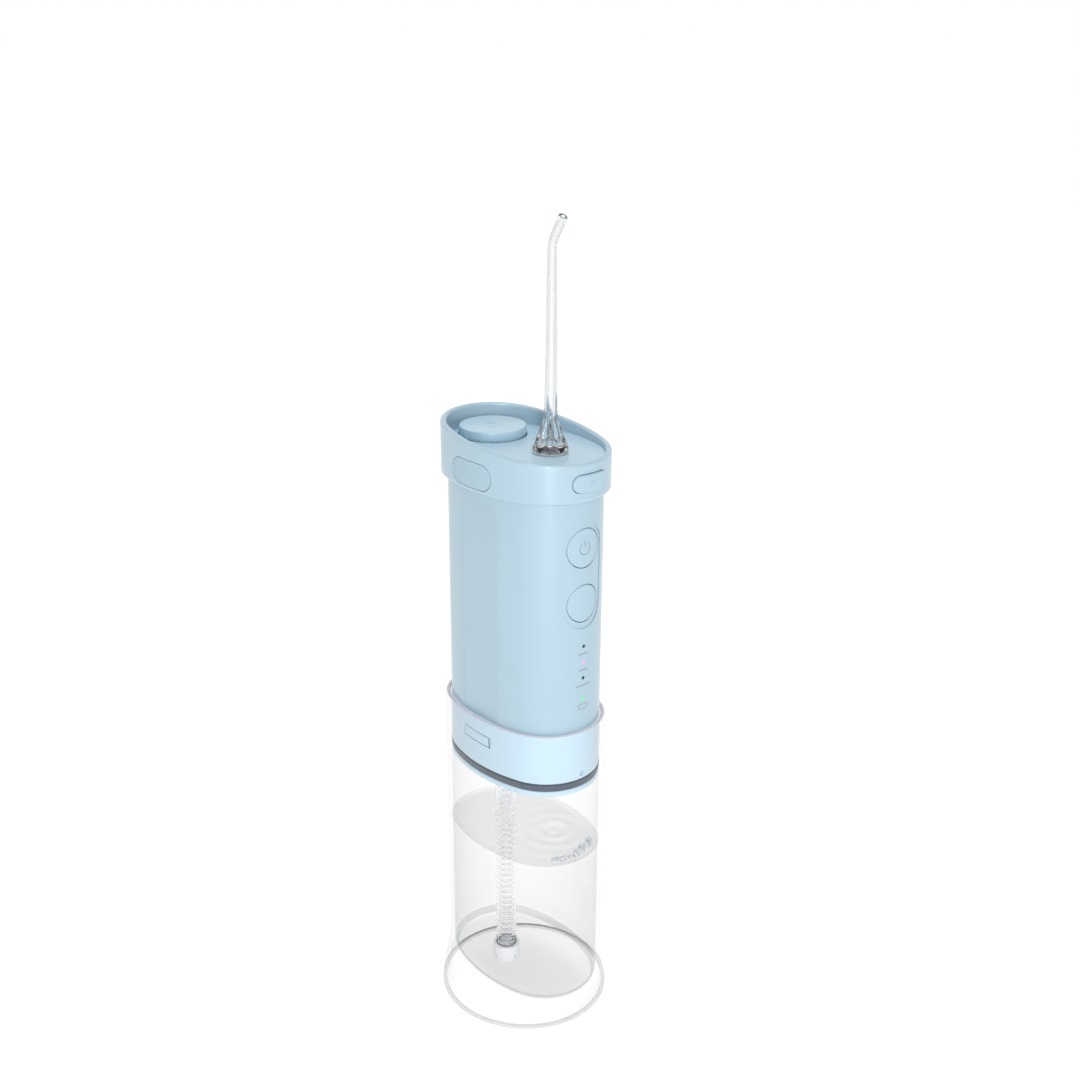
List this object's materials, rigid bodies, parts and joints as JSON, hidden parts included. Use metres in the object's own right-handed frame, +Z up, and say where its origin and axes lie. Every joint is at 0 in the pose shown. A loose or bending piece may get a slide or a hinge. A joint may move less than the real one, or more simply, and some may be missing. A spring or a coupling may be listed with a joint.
{
  "type": "water flosser",
  "caption": "Cordless telescoping water flosser with a clear reservoir, push-button handle, rotating nozzle and nozzle storage under the head's cap.",
  "frame": {"origin": "centre of the foot's underside, on the surface it stands on", "axes": "+Z up along the telescoping axis, -Y towards the buttons, X across the narrow side"},
  "size_m": [0.0588, 0.0628, 0.2759],
  "materials": {
    "clear_tank": "clear polished, like moulded transparent plastic",
    "clear_silicone": "translucent satin",
    "clear_nozzle": "clear polished",
    "body_blue": "satin, fine moulded grain",
    "collar_blue": "smooth",
    "deck_blue": "satin",
    "soft_blue": "satin",
    "seal_black": "satin",
    "white_plastic": "satin",
    "light_pipe": "smooth",
    "steel": "brushed",
    "board_green": "smooth",
    "switch_black": "satin",
    "battery_wrap": "smooth",
    "brass": "satin"
  },
  "bodies": {
    "tank": {"reservoir": "clear_tank", "foot_ring": "clear_silicone", "hose_filter": "white_plastic", "suction_hose": "clear_silicone"},
    "handle": {"base_collar": "collar_blue", "collar_seal": "seal_black", "collar_screws": "steel", "hose_barb": "white_plastic", "handle_shell": "body_blue", "mode_lights": "light_pipe", "charge_light": "light_pipe", "head_shell": "body_blue", "top_deck": "deck_blue", "storage_tube": "white_plastic", "usb_socket": "steel", "circuit_board": "board_green", "tact_switches": "switch_black", "battery": "battery_wrap", "motor_can": "steel", "gear_frame": "white_plastic", "pump_cylinder": "white_plastic", "valve_block": "white_plastic", "inlet_hose": "clear_silicone", "outlet_hose": "clear_silicone", "turret_seat": "white_plastic"},
    "collar_latch_left": {"collar_latch_left": "collar_blue"},
    "collar_latch_right": {"collar_latch_right": "collar_blue"},
    "power_button": {"power_button": "body_blue"},
    "mode_button": {"mode_button": "body_blue"},
    "release_button": {"release_button": "body_blue", "latch_fork": "white_plastic"},
    "storage_cap": {"storage_cap": "deck_blue", "cap_ring": "seal_black"},
    "nozzle_turret": {"nozzle_turret": "white_plastic"},
    "nozzle": {"nozzle": "clear_nozzle", "nozzle_ring": "seal_black"},
    "port_cover": {"port_cover": "soft_blue"},
    "motor_rotor": {"motor_shaft": "steel", "pinion": "brass"},
    "crank_gear": {"crank_gear": "white_plastic"},
    "piston": {"piston": "white_plastic", "piston_cup": "seal_black"}
  },
  "joints": [
    {"name": "handle_slide", "type": "slide", "parent": "tank", "child": "handle", "axis": [0, 0, 1], "range_m": [-0.078, 0], "deforming": ["suction_hose"]},
    {"name": "collar_latch_left_press", "type": "slide", "parent": "handle", "child": "collar_latch_left", "axis": [1, 0, 0], "range_m": [0, 0.0008], "stiffness_N_per_m": 600},
    {"name": "collar_latch_right_press", "type": "slide", "parent": "handle", "child": "collar_latch_right", "axis": [-1, 0, 0], "range_m": [0, 0.0008], "stiffness_N_per_m": 600},
    {"name": "power_button_press", "type": "slide", "parent": "handle", "child": "power_button", "axis": [0, 1, 0], "range_m": [0, 0.0006], "stiffness_N_per_m": 1500},
    {"name": "mode_button_press", "type": "slide", "parent": "handle", "child": "mode_button", "axis": [0, 1, 0], "range_m": [0, 0.0006], "stiffness_N_per_m": 1500},
    {"name": "release_button_press", "type": "slide", "parent": "handle", "child": "release_button", "axis": [0, 1, 0], "range_m": [0, 0.0015], "stiffness_N_per_m": 1000},
    {"name": "storage_cap_lift", "type": "slide", "parent": "handle", "child": "storage_cap", "axis": [0, 0, 1], "range_m": [0, 0.02]},
    {"name": "nozzle_turn", "type": "hinge", "parent": "handle", "child": "nozzle_turret", "pos_m": [0, -0.0123, 0.195], "axis": [0, 0, 1], "continuous": true},
    {"name": "nozzle_pull", "type": "slide", "parent": "nozzle_turret", "child": "nozzle", "axis": [0, 0, 1], "range_m": [0, 0.02]},
    {"name": "port_cover_open", "type": "hinge", "parent": "handle", "child": "port_cover", "pos_m": [-0.0206, 0.0104, 0.1968], "axis": [0, 0, -1], "range_deg": [0, 100]},
    {"name": "crank_turn", "type": "hinge", "parent": "handle", "child": "crank_gear", "pos_m": [0.0105, -0.008, 0.1361], "axis": [1, 0, 0], "continuous": true},
    {"name": "motor_turn", "type": "hinge", "parent": "handle", "child": "motor_rotor", "pos_m": [0.004, -0.008, 0.124], "axis": [1, 0, 0], "continuous": true},
    {"name": "piston_slide", "type": "slide", "parent": "handle", "child": "piston", "axis": [0, 0, 1], "range_m": [0, 0.006]}
  ],
  "couplings": [
    {"joint": "crank_turn", "follows": "motor_turn", "ratio": -0.33333}
  ]
}
